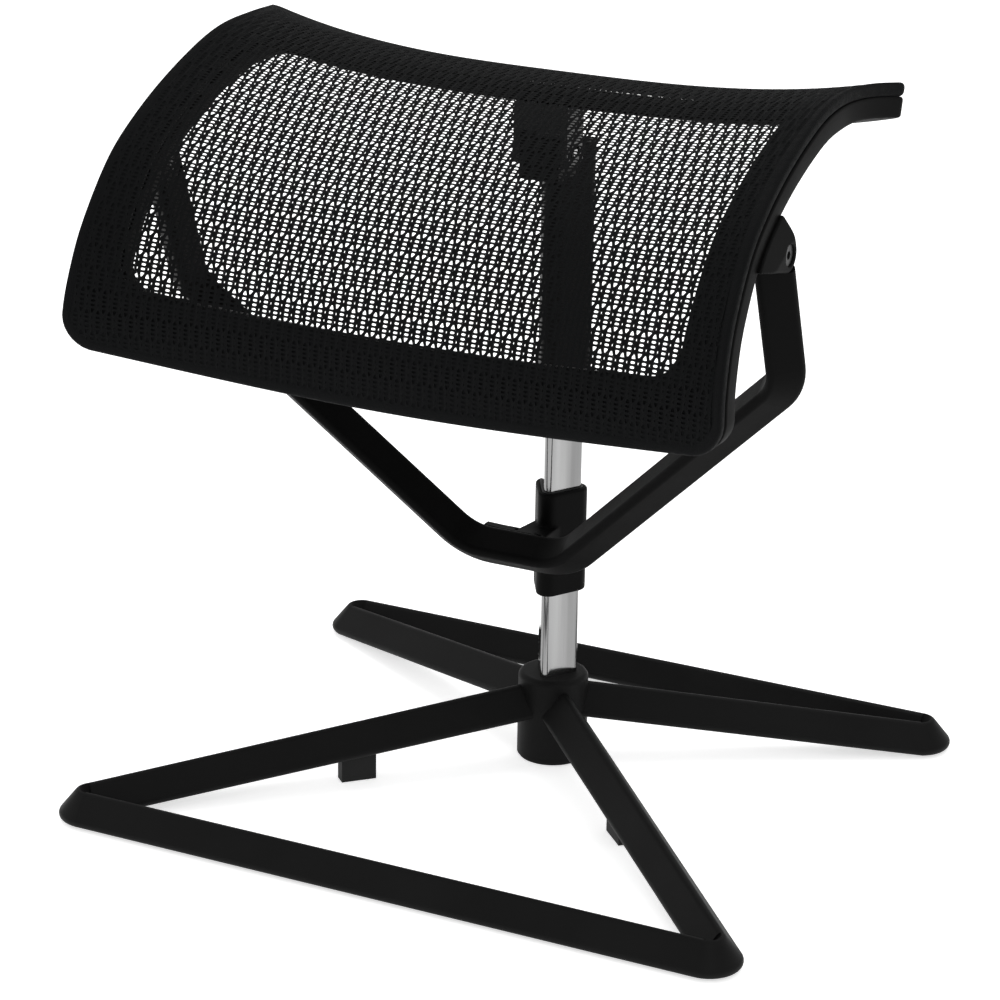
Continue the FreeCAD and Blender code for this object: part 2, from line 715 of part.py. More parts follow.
carrier_top = d("fabric_thick") + d("layer_gap")
frame_top = carrier_top + d("carrier_thick") + d("layer_gap")


def half_width(share):
    """Half width at a share of the profile's length: waisted, with flared rear corners."""
    waist = (half_front - half_waist) * (1 - share) ** 2.5
    start = d("flare_start")
    flare = d("panel_rear_flare") * max(0.0, (share - start) / (1.0 - start)) ** 2
    return half_waist + waist + flare


def side_wall(side):
    """Everything outside the panel's curved side, as a tall prism."""
    steps = 40
    points = []
    for k in range(steps + 1):
        at = profile.value(profile.parameterAtDistance(profile_length * k / steps,
                                                       profile.FirstParameter))
        points.append(vec(side * half_width(k / steps), at.y, 250.0))
    curve = Part.BSplineCurve()
    curve.interpolate(points)
    start = vec(points[0].x, -400.0, 250.0)
    end = vec(points[-1].x, 120.0, 250.0)
    out_end = vec(side * 330.0, 120.0, 250.0)
    out_start = vec(side * 330.0, -400.0, 250.0)
    edges = [Part.makeLine(start, points[0]), curve.toShape(), Part.makeLine(points[-1], end),
             Part.makeLine(end, out_end), Part.makeLine(out_end, out_start),
             Part.makeLine(out_start, start)]
    return Part.Face(Part.Wire(edges)).extrude(vec(0, 0, 400.0))


side_cut = [side_wall(side) for side in SIDES]


def full_layer(top, bottom):
    slab = panel_layer(top, bottom, 0.0, profile_length, half_front, half_width(1.0),
                       CORNER_LOW, CORNER_HIGH, PANEL_STATIONS)
    for block in side_cut:
        slab = slab.cut(block)
    return slab


cutter = panel_layer(constant(-6.0), constant(60.0), d("window_bottom"),
                     profile_length - d("window_rear"), d("window_half_width"),
                     d("window_half_width"), CORNER_WINDOW, CORNER_WINDOW, WINDOW_STATIONS)
fabric = full_layer(constant(0.0), constant(d("fabric_thick")))
carrier = full_layer(constant(carrier_top), constant(carrier_top + d("carrier_thick"))).cut(cutter)
frame = full_layer(constant(frame_top), frame_depth).cut(cutter)

# Screws from below hold the frame to the carrier.
screws = []
side_x = (d("window_half_width") + 234.0) / 2
SCREW_SPOTS = [(0.0, 22.0), (110.0, 22.0), (side_x - 12.0, 26.0), (side_x, 0.36 * profile_length),
               (side_x, 0.72 * profile_length), (110.0, profile_length - 22.0)]
for x, s in SCREW_SPOTS:
    for side in SIDES if x > 0 else (1,):
        low_face = panel_point(side * x, s, frame_depth(s) - 1.0)
        high_face = panel_point(side * x, s, carrier_top + 3.0)
        axis = (high_face - low_face).normalize()
        reach = high_face.distanceToPoint(low_face)
        screw = rod(low_face, axis, d("screw_head"), 2.5).fuse(
            rod(low_face, axis, d("screw_radius"), reach))
        screws.append(screw)
        well = rod(low_face - axis * 8.0, axis, d("screw_head") + 0.1, 8.0 + 2.5)
        frame = frame.cut(well).cut(rod(low_face, axis, d("screw_radius"), reach))
        carrier = carrier.cut(rod(low_face, axis, d("screw_radius"), reach))

# Everything above the frame's lower face, to trim the pieces fixed beneath it.
above = panel_layer(constant(-60.0), frame_depth, -40.0, profile_length + 40.0,
                    300.0, 300.0, 0.0, 0.0, both_ways([0, 60, 110, 150, 180, 210, 240, 270]))

# Lugs under the ends of the frame carry the hinge. The left one mirrors the right one.
outer_x = 238.0
slot_low = d("yoke_arm_x") - d("tongue_width") / 2 - d("side_gap")
slot_wide = d("tongue_width") + 2 * d("side_gap")
slot_radius = d("knuckle_radius") + 4.0
inner_x = slot_low - 4.5
lug_width = outer_x - inner_x
lug_round = 2.0
# Outline of the web (Y, Z): straight sides, partly inside the frame, and a curved rear side.
LUG_FLAT = [(-175.6, 448.5), (-216.0, 458.0), (-198.0, 501.0), (-185.0, 496.5)]
LUG_CURVE = [(-185.0, 496.5), (-174.5, 486.5), (-166.0, 475.0), (-160.2, 463.5)]
across_x = vec(1, 0, 0)
rear_side = Part.BSplineCurve()
rear_side.interpolate([vec(inner_x, y, z) for y, z in LUG_CURVE])
straight = Part.makePolygon([vec(inner_x, y, z) for y, z in LUG_CURVE[-1:] + LUG_FLAT])
web = Part.Face(Part.Wire(straight.Edges + [rear_side.toShape()])).extrude(across_x * lug_width)
lug = web.fuse(rod(vec(inner_x, hinge.y, hinge.z), across_x, d("knuckle_radius"), lug_width))
lug = lug.removeSplitter()
rim = [e for e in lug.Edges if abs(e.BoundBox.XMin - outer_x) < 0.01
       and abs(e.BoundBox.XMax - outer_x) < 0.01]
lug = lug.makeFillet(lug_round, rim)
# The outer cheek tapers from the knuckle up to the side of the frame.
toward_frame = vec(0, -0.42, 0.907)
taper_start, taper_end, taper_depth = 6.0, 60.0, 14.6
taper = Part.Face(Part.makePolygon([
    hinge + across_x * (x - hinge.x) + toward_frame * reach for x, reach in (
        (outer_x, taper_start), (outer_x + 12.0, taper_start), (outer_x + 12.0, taper_end),
        (outer_x - taper_depth, taper_end), (outer_x, taper_start))]))
taper_way = across_x.cross(toward_frame) * 120.0
taper.translate(taper_way * -0.5)
lug = lug.cut(taper.extrude(taper_way))
lug = lug.cut(rod(vec(slot_low, hinge.y, hinge.z), across_x, slot_radius, slot_wide))
lug = lug.cut(Part.makeBox(slot_wide, 60.0, 40.0, vec(slot_low, hinge.y - 10.0, hinge.z - 40.0)))

sunk = 1.5
head_at = vec(outer_x - sunk, hinge.y, hinge.z)
key_reach = 3.0
key_depth = 2.5
key = Part.Face(Part.makePolygon([
    head_at + vec(0, key_reach * math.cos(math.radians(60 * k)),
                  key_reach * math.sin(math.radians(60 * k))) for k in range(7)]))
shank = rod(head_at, across_x * -1, d("hinge_pin"), head_at.x - inner_x)
hinge_screw = rod(head_at, across_x * -1, d("hinge_head"), d("hinge_head_thick"))
hinge_screw = hinge_screw.fuse(shank).cut(key.extrude(across_x * -key_depth))
seat = rod(vec(outer_x, hinge.y, hinge.z), across_x * -1, d("hinge_head") + 0.1,
           sunk + d("hinge_head_thick"))
lug = lug.cut(seat).cut(shank).cut(above).cut(frame)
lug = max(lug.Solids, key=lambda solid: solid.Volume)
lugs = [lug.mirror(vec(0, 0, 0), across_x), lug]
hinge_screws = [hinge_screw.mirror(vec(0, 0, 0), across_x), hinge_screw]

# Bracket under the rear rail with two slotted ears for the head of the guide tube.
pivot_at = vec(0, -d("pivot_y"), d("pivot_z"))
head_half = d("head_width") / 2
ear_in = head_half + 0.5
ear_out = ear_in + d("ear_thick")
plate = Part.makeBox(2 * ear_out, 26.0, 40.0, vec(-ear_out, pivot_at.y - 11.0,
                                                         pivot_at.z + 15.0))
ears = []
for side in SIDES:
    x = ear_in if side > 0 else -ear_out
    ear = Part.makeBox(d("ear_thick"), 26.0, 34.0, vec(x, pivot_at.y - 11.0, pivot_at.z - 9.0))
    reach = d("ear_slot") / 2
    slot_shape = Part.makeBox(d("ear_thick"), 8.0, 2 * reach, vec(x, pivot_at.y - 2.0,
                                                                 pivot_at.z - reach))
    for y in (-2.0, 6.0):
        slot_shape = slot_shape.fuse(rod(vec(x, pivot_at.y + y, pivot_at.z), vec(1, 0, 0), reach,
                                         d("ear_thick")))
    ears.append(ear.cut(slot_shape))
bracket = plate.fuse(ears[0]).fuse(ears[1]).removeSplitter()
bracket = bracket.cut(above).cut(frame)
bracket = max(bracket.Solids, key=lambda solid: solid.Volume)
bracket_screws = []
for side in SIDES:
    seat_at = vec(side * 9.0, pivot_at.y - 4.0, pivot_at.z + 15.0)
    shank = rod(seat_at, vec(0, 0, 1), d("screw_radius"), 18.0)
    sunk = rod(seat_at, vec(0, 0, 1), d("screw_head"), 1.5)
    bracket_screws.append(sunk.fuse(shank))
    frame = frame.cut(shank)
    bracket = bracket.cut(shank).cut(sunk)

keep_shape("panel_frame", frame)
keep_shape("mesh_carrier", carrier)
keep_shape("mesh_fabric", fabric)
group("frame_screws", screws)
keep_shape("hinge_lug_left", lugs[0])
keep_shape("hinge_lug_right", lugs[1])
group("hinge_screws", hinge_screws)
keep_shape("rear_bracket", bracket)
group("bracket_screws", bracket_screws)

# ---------------------------------------------------------------- guide tube

tube = new_body("guide_tube")
skin = new_sketch(tube, "section", level(d("guide_bottom")))
post_outline(skin, d("guide_wall"))
pad(tube, skin, d("guide_height"), "guide_height")
way = new_sketch(tube, "way", level(d("guide_bottom")))
post_outline(way, 0.5)
pocket(tube, way)
seat = new_sketch(tube, "liner_seat", level(d("guide_bottom")))
post_outline(seat, d("liner_wall") + 0.02)
pocket(tube, seat, d("liner_length"), reverse=True)
keep(tube)

tube_liner = new_body("guide_tube_liner")
skin = new_sketch(tube_liner, "skin", level(d("guide_bottom")))
post_outline(skin, d("liner_wall"))
pad(tube_liner, skin, d("liner_length"), "liner_length")
way = new_sketch(tube_liner, "way", level(d("guide_bottom")))
post_outline(way, d("running_fit"))
pocket(tube_liner, way)
keep(tube_liner)

guide_top = d("guide_bottom") + d("guide_height")
head_low = guide_top - d("head_height") + 2.0
head = new_body("tube_head")
block = new_sketch(head, "block", level(head_low))
add_polygon(block, [(-head_half, -d("head_front")), (head_half, -d("head_front")),
                    (head_half, -12.0), (6.0, 14.0), (-6.0, 14.0), (-head_half, -12.0)])
pad(head, block, d("head_height"), "head_height")
lug_block = new_sketch(head, "lug", level(head_low))
add_polygon(lug_block, [(-head_half, -d("head_front")), (head_half, -d("head_front")),
                        (head_half, -22.0), (-head_half, -22.0)])
pad(head, lug_block, d("head_lug_height"), "head_lug_height")
hug = new_sketch(head, "hug", level(head_low))
post_outline(hug, d("guide_wall") + 0.02)
pocket(head, hug, guide_top - head_low + 0.02, reverse=True)
cross = new_sketch(head, "pivot_bore", across(0))
add_circle(cross, pivot_at.y, pivot_at.z, d("pivot_pin") + 0.02)
pocket(head, cross)
keep(head)

head_pin = new_body("head_pin")
round_pin = new_sketch(head_pin, "round", across(0))
add_circle(round_pin, pivot_at.y, pivot_at.z, d("pivot_pin"), "pivot_pin")
pad(head_pin, round_pin, 2 * ear_out + 3.0, midplane=True)
keep(head_pin)

# ---------------------------------------------------------------- checks and export

doc.recompute()
os.makedirs("parts", exist_ok=True)
for old in os.listdir("parts"):
    if old.endswith(".step"):
        os.remove(os.path.join("parts", old))
for obj in doc.Objects:
    bad = [state for state in obj.State if state in ("Invalid", "Error")]
    if bad:
        raise RuntimeError("%s is %s" % (obj.Name, bad))
for node in NODES:
    shape = node.Shape
    if shape.isNull() or not shape.isValid() or not shape.Solids:
        raise RuntimeError("%s has no valid solid" % node.Label)
    shape.exportStep(os.path.join("parts", node.Label + ".step"))
    box = shape.BoundBox
    print("%-20s solids %2d  volume %8.0f  x %.1f..%.1f  y %.1f..%.1f  z %.1f..%.1f" % (
        node.Label, len(shape.Solids), shape.Volume, box.XMin, box.XMax,
        box.YMin, box.YMax, box.ZMin, box.ZMax))
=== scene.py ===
import json
import math

import bmesh
import bpy
import numpy as np
from mathutils import Matrix, Vector


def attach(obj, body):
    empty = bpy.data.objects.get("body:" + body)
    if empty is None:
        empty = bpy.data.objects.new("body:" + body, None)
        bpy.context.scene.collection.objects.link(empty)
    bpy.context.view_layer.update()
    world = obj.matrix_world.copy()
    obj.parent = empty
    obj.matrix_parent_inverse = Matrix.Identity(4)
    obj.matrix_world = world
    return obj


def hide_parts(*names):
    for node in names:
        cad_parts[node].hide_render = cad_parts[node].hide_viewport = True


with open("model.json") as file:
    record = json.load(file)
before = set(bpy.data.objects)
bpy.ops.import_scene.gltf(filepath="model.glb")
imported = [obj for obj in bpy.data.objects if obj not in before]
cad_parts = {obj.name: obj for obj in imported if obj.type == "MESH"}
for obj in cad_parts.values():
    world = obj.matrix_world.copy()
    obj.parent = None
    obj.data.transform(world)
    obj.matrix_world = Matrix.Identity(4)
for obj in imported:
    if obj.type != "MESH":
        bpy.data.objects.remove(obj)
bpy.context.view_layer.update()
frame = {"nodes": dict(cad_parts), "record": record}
MM = 0.001
NOISE_LOW, NOISE_HIGH = 0.3, 0.7      # the part of a noise value's range that is used


# ---------------------------------------------------------------- materials

def new_material(name):
    """Empty node material with its Principled shader."""
    material = bpy.data.materials.new(name)
    material.use_nodes = True
    return material, material.node_tree.nodes, material.node_tree.links


def noise_node(nodes, links, scale, detail=3.0, stretch=(1, 1, 1)):
    """Noise in object coordinates (metres), stretched along an axis if asked."""
    place = nodes.new("ShaderNodeTexCoord")
    mapping = nodes.new("ShaderNodeMapping")
    mapping.inputs["Scale"].default_value = stretch
    noise = nodes.new("ShaderNodeTexNoise")
    noise.inputs["Scale"].default_value = scale
    noise.inputs["Detail"].default_value = detail
    links.new(place.outputs["Object"], mapping.inputs["Vector"])
    links.new(mapping.outputs["Vector"], noise.inputs["Vector"])
    return noise


def spread(nodes, links, source, low, high):
    """Map the middle of a 0..1 noise value to a range."""
    ramp = nodes.new("ShaderNodeMapRange")
    ramp.inputs["From Min"].default_value = NOISE_LOW
    ramp.inputs["From Max"].default_value = NOISE_HIGH
    ramp.inputs["To Min"].default_value = low
    ramp.inputs["To Max"].default_value = high
    links.new(source, ramp.inputs["Value"])
    return ramp.outputs["Result"]


def surface(name, dark, light, rough, metallic=0.0, grain=900.0, bump=0.15, bump_size=0.0002,
            wear_scale=14.0, stretch=(1, 1, 1), specular=0.5):
    """Procedural finish: mottled colour, uneven gloss and a fine grain."""
    material, nodes, links = new_material(name)
    shader = nodes["Principled BSDF"]
    shader.inputs["Metallic"].default_value = metallic
    shader.inputs["Specular IOR Level"].default_value = specular
    broad = noise_node(nodes, links, wear_scale, 4.0, stretch)
    mix = nodes.new("ShaderNodeMix")
    mix.data_type = "RGBA"
    mix.inputs["A"].default_value = (*dark, 1)
    mix.inputs["B"].default_value = (*light, 1)
    links.new(spread(nodes, links, broad.outputs["Fac"], 0.0, 1.0), mix.inputs["Factor"])
    links.new(mix.outputs["Result"], shader.inputs["Base Color"])
    links.new(spread(nodes, links, broad.outputs["Fac"], *rough), shader.inputs["Roughness"])
    fine = noise_node(nodes, links, grain, 2.0, stretch)
    relief = nodes.new("ShaderNodeBump")
    relief.inputs["Strength"].default_value = bump
    relief.inputs["Distance"].default_value = bump_size
    links.new(fine.outputs["Fac"], relief.inputs["Height"])
    links.new(relief.outputs["Normal"], shader.inputs["Normal"])
    return material


def grey(value):
    return (value, value, value)


FINISHES = {
    "base_metal": surface("base_metal", grey(0.0042), grey(0.0064), (0.45, 0.60), grain=2600,
                          bump=0.25, specular=0.08),
    # The yoke is painted metal like the base. Its colour is about three times darker and its gloss
    # lower: painted shade for the shade the yoke lies in.
    "yoke_metal": surface("yoke_metal", grey(0.0014), grey(0.0024), (0.50, 0.60), grain=2600,
                          bump=0.25, specular=0.04),
    "post_chrome": surface("post_chrome", grey(0.13), grey(0.36), (0.08, 0.16), metallic=1.0,
                           grain=300, bump=0.02, wear_scale=55.0, stretch=(1, 1, 0.03)),
    "plain_steel": surface("plain_steel", grey(0.35), grey(0.50), (0.28, 0.42), metallic=1.0),
    "black_steel": surface("black_steel", grey(0.004), grey(0.008), (0.35, 0.5), specular=0.3),
    "liner_plastic": surface("liner_plastic", grey(0.010), grey(0.016), (0.4, 0.5), specular=0.2),
    "rubber": surface("rubber", grey(0.006), grey(0.010), (0.6, 0.75), bump=0.3, specular=0.2),
    "black_plastic": surface("black_plastic", grey(0.0016), grey(0.0028), (0.45, 0.60), bump=0.2,
                             specular=0.05),
    "frame_plastic": surface("frame_plastic", grey(0.0026), grey(0.0040), (0.55, 0.65), grain=1800,
                             bump=0.3, specular=0.04),
    "carrier_plastic": surface("carrier_plastic", grey(0.003), grey(0.004), (0.7, 0.8),
                               specular=0.15),
    "mesh": surface("mesh_cloth", (0.0014, 0.0016, 0.0018), (0.0034, 0.0037, 0.0040),
                    (0.65, 0.85), grain=1400, bump=0.8, bump_size=0.0006, wear_scale=260.0,
                    specular=0.08),
}
SLOT_OF = {row["node"]: row["material_slot"] for row in frame["record"]["subparts"]}
for node, obj in frame["nodes"].items():
    obj.data.materials.clear()
    obj.data.materials.append(FINISHES[SLOT_OF[node]])


def place(obj, body, slot, smooth=True):
    """Give a new piece its finish, its slot and the body it moves with."""
    obj.data.materials.clear()
    obj.data.materials.append(FINISHES[slot])
    if smooth:
        for face in obj.data.polygons:
            face.use_smooth = True
    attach(obj, body)
    return obj


def mesh_object(name, points, faces):
    """Mesh from points in millimetres."""
    mesh = bpy.data.meshes.new(name)
    mesh.from_pydata([[c * MM for c in p] for p in points], [], faces)
    mesh.validate()
    mesh.update()
    obj = bpy.data.objects.new(name, mesh)
    bpy.context.collection.objects.link(obj)
    return obj


# ---------------------------------------------------------------- softened pieces

SMOOTH_FACTOR = 0.5


def softened(node, body, voxel, passes):
    """Copy of a moulded piece, its sharp edges rounded. voxel is the remesh size in mm."""
    source = frame["nodes"][node]
    obj = bpy.data.objects.new(node + "_soft", source.data.copy())
    obj.matrix_world = source.matrix_world.copy()
    bpy.context.collection.objects.link(obj)
    remesh = obj.modifiers.new("remesh", "REMESH")
    remesh.mode = "VOXEL"
    remesh.voxel_size = voxel * MM
    smooth = obj.modifiers.new("smooth", "SMOOTH")
    smooth.factor = SMOOTH_FACTOR
    smooth.iterations = passes
    bpy.context.view_layer.update()
    solid = obj.evaluated_get(bpy.context.evaluated_depsgraph_get())
    mesh = bpy.data.meshes.new_from_object(solid)
    obj.modifiers.clear()
    obj.data = mesh
    place(obj, body, SLOT_OF[node])
    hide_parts(node)
    return obj


for node, body, voxel, passes in (
        ("hinge_lug_left", "panel", 0.6, 10),
        ("hinge_lug_right", "panel", 0.6, 10),
        ("slide_sleeve", "carriage", 0.8, 6)):
    softened(node, body, voxel, passes)


# ---------------------------------------------------------------- panel surface

# Outer line of the panel at its two ends (Y, Z in mm), from the low front edge to the rear edge.
PROFILE = np.array([(-278.5, 356), (-276.5, 387), (-270, 409.5), (-262, 428.5), (-251, 446.5),
                    (-238, 464), (-222, 481), (-202, 495.5), (-178.5, 509), (-152.5, 521),
                    (-124.5, 531.5), (-93.5, 540), (-58, 543), (-19.5, 540), (18.5, 531.5)], float)
HALF_FRONT, HALF_WAIST = 240.0, 228.0   # half widths at the front and at the waist
REAR_FLARE, FLARE_START = 16.0, 0.80    # widening of the rear corners, from this share of the length
SAG_FRONT, SAG_REAR = 14.5, 21.5        # how far the middle lies below the two ends
BOTTOM_BOW = 14.0                       # how far the lower edge bows down in the middle
BOW_REACH = 120.0                       # the bow fades out over this length of the sides
WINDOW_HALF, WINDOW_BOTTOM, WINDOW_REAR = 204.0, 51.0, 46.0
CORNER_FRONT, CORNER_REAR, CORNER_WINDOW = 22.0, 8.0, 18.0
FABRIC, CARRIER, GAP = 1.2, 8.0, 0.3    # layers of the edge and the gaps between them
FRAME_FRONT, FRAME_REAR = 15.0, 14.0    # thickness of the frame at the front and the rear
FRAME_BLEND_START, FRAME_BLEND = 90.0, 40.0   # where the thickness changes, from the rear edge


def spline(points, count):
    """Dense points of a natural cubic spline through the points."""
    t = np.concatenate([[0], np.cumsum(np.hypot(*np.diff(points, axis=0).T))])
    n = len(t)
    h = np.diff(t)
    matrix = np.eye(n)
    rhs = np.zeros((n, 2))
    for i in range(1, n - 1):
        matrix[i, i - 1:i + 2] = (h[i - 1], 2 * (h[i - 1] + h[i]), h[i])
        rhs[i] = 6 * ((points[i + 1] - points[i]) / h[i] - (points[i] - points[i - 1]) / h[i - 1])
    m = np.linalg.solve(matrix, rhs)
    out = []
    for x in np.linspace(0, t[-1], count):
        i = min(int(np.searchsorted(t, x, side="right")) - 1, n - 2)
        a, b = t[i + 1] - x, x - t[i]
        out.append((m[i] * a ** 3 + m[i + 1] * b ** 3) / (6 * h[i])
                   + (points[i] / h[i] - m[i] * h[i] / 6) * a
                   + (points[i + 1] / h[i] - m[i + 1] * h[i] / 6) * b)
    return np.array(out)


LINE = spline(PROFILE, 2001)
ALONG = np.concatenate([[0], np.cumsum(np.hypot(*np.diff(LINE, axis=0).T))])
LENGTH = ALONG[-1]
TANGENT = np.gradient(LINE, ALONG, axis=0)
TANGENT /= np.linalg.norm(TANGENT, axis=1)[:, None]


def on_panel(x, s, depth):
    """Points (mm) at x across and s along the panel, depth below its outer face."""
    x, s, depth = np.broadcast_arrays(np.asarray(x, float), np.asarray(s, float),
                                      np.asarray(depth, float))
    along = np.clip(s, 0, LENGTH)
    point = np.stack([np.interp(along, ALONG, LINE[:, k]) for k in (0, 1)], -1)
    tangent = np.stack([np.interp(along, ALONG, TANGENT[:, k]) for k in (0, 1)], -1)
    tangent /= np.linalg.norm(tangent, axis=-1)[..., None]
    point = point + tangent * (s - along)[..., None]
    deepest = SAG_FRONT + (SAG_REAR - SAG_FRONT) * (along / LENGTH) ** 2
    sag = deepest * (1 - np.minimum(1, np.abs(x) / HALF_FRONT) ** 3)
    inward = np.stack([tangent[..., 1], -tangent[..., 0]], -1)
    point = point + inward * (depth + sag)[..., None]
    return np.concatenate([x[..., None], point], -1)


def half_width(s):
    """Half width of the panel: waisted, with flared rear corners."""
    share = np.clip(s / LENGTH, 0, 1)
    return (HALF_WAIST + (HALF_FRONT - HALF_WAIST) * (1 - share) ** 2.5
            + REAR_FLARE * (np.clip(share - FLARE_START, 0, 1) / (1 - FLARE_START)) ** 2)


def bow(x):
    """Drop of the lower edge at x."""
    return BOTTOM_BOW * (1 - (x / HALF_FRONT) ** 2)


def rounded_loop(low, high, half, round_low, round_high, counts):
    """Closed loop of (x, s) points, a rounded rectangle. half(s) is the half width at s."""
    side, across, corner = counts
    right = []
    for k in range(corner):
        a = -math.pi / 2 + math.pi / 2 * (k + 0.5) / corner
        at = low + round_low + round_low * math.sin(a)
        right.append((half(at) - round_low + round_low * math.cos(a), at))
    for k in range(side + 1):
        at = low + round_low + (high - low - round_low - round_high) * k / side
        right.append((half(at), at))
    for k in range(corner):
        a = math.pi / 2 * (k + 0.5) / corner
        at = high - round_high + round_high * math.sin(a)
        right.append((half(at) - round_high + round_high * math.cos(a), at))
    top_x = half(high) - round_high
    top = [(top_x - 2 * top_x * k / across, high) for k in range(across + 1)]
    left = [(-x, s) for x, s in reversed(right)]
    low_x = half(low) - round_low
    bottom = [(-low_x + 2 * low_x * k / across, low) for k in range(across + 1)]
    loop = np.array(right + top + left + bottom)
    # The lower edge bows down in the middle.
    fade = np.clip((low + BOW_REACH - loop[:, 1]) / BOW_REACH, 0, 1)
    loop[:, 1] -= bow(loop[:, 0]) * fade
    return loop


COUNTS = (60, 90, 8)                    # steps along a side, across the panel and round a corner
OUTER = rounded_loop(0, LENGTH, half_width, CORNER_FRONT, CORNER_REAR, COUNTS)
WINDOW = rounded_loop(WINDOW_BOTTOM, LENGTH - WINDOW_REAR, lambda s: WINDOW_HALF,
                      CORNER_WINDOW, CORNER_WINDOW, COUNTS)


def ring(name, section):
    """Closed ring round the panel. A row of its section is (inset, from_inner, depth): the inset
    is in mm, from the window's edge if from_inner and else from the outer edge.
    """
    across = WINDOW - OUTER
    width = np.linalg.norm(across, axis=1)
    unit = across / width[:, None]
    rows = []
    for inset, from_inner, depth in section:
        distance = width - inset if from_inner else np.full(len(width), float(inset))
        flat = OUTER + unit * distance[:, None]
        depth_here = depth(flat[:, 1]) if callable(depth) else depth
        rows.append(on_panel(flat[:, 0], flat[:, 1], depth_here))
    points = np.concatenate(rows)
    count, rings = len(OUTER), len(section)
    faces = []
    for r in range(rings):
        for k in range(count):
            a, b = r * count + k, r * count + (k + 1) % count
            c, d = ((r + 1) % rings) * count + (k + 1) % count, ((r + 1) % rings) * count + k
            faces.append((a, d, c, b))
    return mesh_object(name, points, faces)


def frame_depth(s):
    """Depth of the frame's lower face: the rear rail is a little thinner."""
    blend = np.clip((s - (LENGTH - FRAME_BLEND_START)) / FRAME_BLEND, 0, 1)
    blend = blend * blend * (3 - 2 * blend)
    return FABRIC + GAP + CARRIER + GAP + FRAME_FRONT + (FRAME_REAR - FRAME_FRONT) * blend


def arc_steps(radius, count=4):
    """Steps (inset, drop) round a quarter arc, from the flat face to the side."""
    return [(radius * (1 - math.cos(a)), radius * (1 - math.sin(a)))
            for a in [math.pi / 2 * k / count for k in range(count + 1)]]


def slab_section(top, bottom, radius):
    """Section of a slab with rounded edges, as (inset, from_inner, depth)."""
    if not callable(bottom):
        base = float(bottom)
        bottom = lambda s: np.full(np.shape(s), base)
    section = []
    for inset, drop in reversed(arc_steps(radius)):
        section.append((inset, False, top + drop))
    for inset, drop in arc_steps(radius):
        section.append((inset, False, lambda s, drop=drop: bottom(s) - drop))
    for inset, drop in reversed(arc_steps(radius)):
        section.append((inset, True, lambda s, drop=drop: bottom(s) - drop))
    for inset, drop in arc_steps(radius):
        section.append((inset, True, top + drop))
    return section


carrier_top = FABRIC + GAP
frame_top = carrier_top + CARRIER + GAP
HEM = 7.0                               # width of the solid hem outside the open cloth
HEM_DEPTH, HEM_STEP = 0.3, 2.0
CARRIER_ROUND, FRAME_ROUND = 3.5, 2.2
UNDER_CLOTH, UNDER_REAR = 1.0, 0.42     # depth of the carrier below the cloth, less at the rear
UNDER_START, UNDER_BLEND = 55.0, 25.0   # where that depth changes, from the rear edge


def under_cloth(s):
    """The carrier lies close under the cloth, closest along the rear rail."""
    return UNDER_CLOTH - UNDER_REAR * np.clip((s - (LENGTH - UNDER_START)) / UNDER_BLEND, 0, 1)


# The carrier is a slab whose outer edge rises to the hem. Its last quarter arc, round the inner
# edge of its upper face, gives way to rows that follow the cloth.
hem_slab = slab_section(HEM_DEPTH, carrier_top + CARRIER, CARRIER_ROUND)
arc_rows = len(arc_steps(CARRIER_ROUND))
carrier = ring("mesh_carrier_rim", hem_slab[:3 * arc_rows] + [
    (0.0, True, under_cloth), (8.0, True, under_cloth), (16.0, False, under_cloth),
    (HEM + HEM_STEP, False, under_cloth), (HEM, False, HEM_DEPTH)])
place(carrier, "panel", "mesh")
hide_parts("mesh_carrier")
lower = ring("panel_lower_frame", slab_section(frame_top, frame_depth, FRAME_ROUND))
place(lower, "panel", "frame_plastic")
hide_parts("panel_frame")


# ---------------------------------------------------------------- mesh cloth

STACK = 15.0        # length of one stack of holes; the next column is shifted by this much
SPECK_TALL = 0.8    # half the height of the small gaps between the stacks
COLUMN = 4.0        # width of a column of stacks
YARN = 0.75         # half the width of the yarn between two rows of holes
CLOTH_DEPTH, RIB = 0.6, 0.25            # middle depth of the cloth and half the height of its ribs
TRIM_FRONT, TRIM_REAR = 16.0, 5.0       # corner radii of the trimmed cloth


def hole(kind, width, top, bottom):
    """Eight points of one hole in its cell, anticlockwise from the right: x from the middle, s."""
    middle = (top + bottom) / 2
    tall = (top - bottom) / 2 if kind != "speck" else SPECK_TALL
    if kind == "wide":
        shape = [(1.0, 0), (0.85, 0.8), (0, 1.0), (-0.85, 0.8), (-1.0, 0), (-0.85, -0.8), (0, -1.0),
                 (0.85, -0.8)]
    elif kind == "down":
        shape = [(0.75, 0.1), (1.0, 0.9), (0, 1.0), (-0.9, 0.9), (-0.75, 0.1), (-0.45, -0.9),
                 (-0.2, -1.0), (0.1, -0.9)]
    elif kind == "up":
        shape = [(0.75, -0.1), (0.45, 0.9), (0.2, 1.0), (-0.1, 0.9), (-0.75, -0.1), (-0.9, -0.9),
                 (0, -1.0), (1.0, -0.9)]
    else:
        shape = [(1.0, 0), (0.7, 0.8), (0, 1.0), (-0.7, 0.8), (-1.0, 0), (-0.7, -0.8), (0, -1.0),
                 (0.7, -0.8)]
    return [(x * width / 2, middle + s * tall) for x, s in shape]


# Rows of one column over two stacks: kind, hole width, low end and high end of the row.
ROWS = [
    ("wide", 3.0, 0.0, 3.2), ("wide", 3.0, 3.2, 6.4), ("wide", 3.0, 6.4, 9.6),
    ("up", 2.8, 9.6, 14.0), ("speck", 0.6, 14.0, 19.8), ("speck", 0.6, 19.8, 25.6),
    ("down", 2.8, 25.6, 30.0),
]


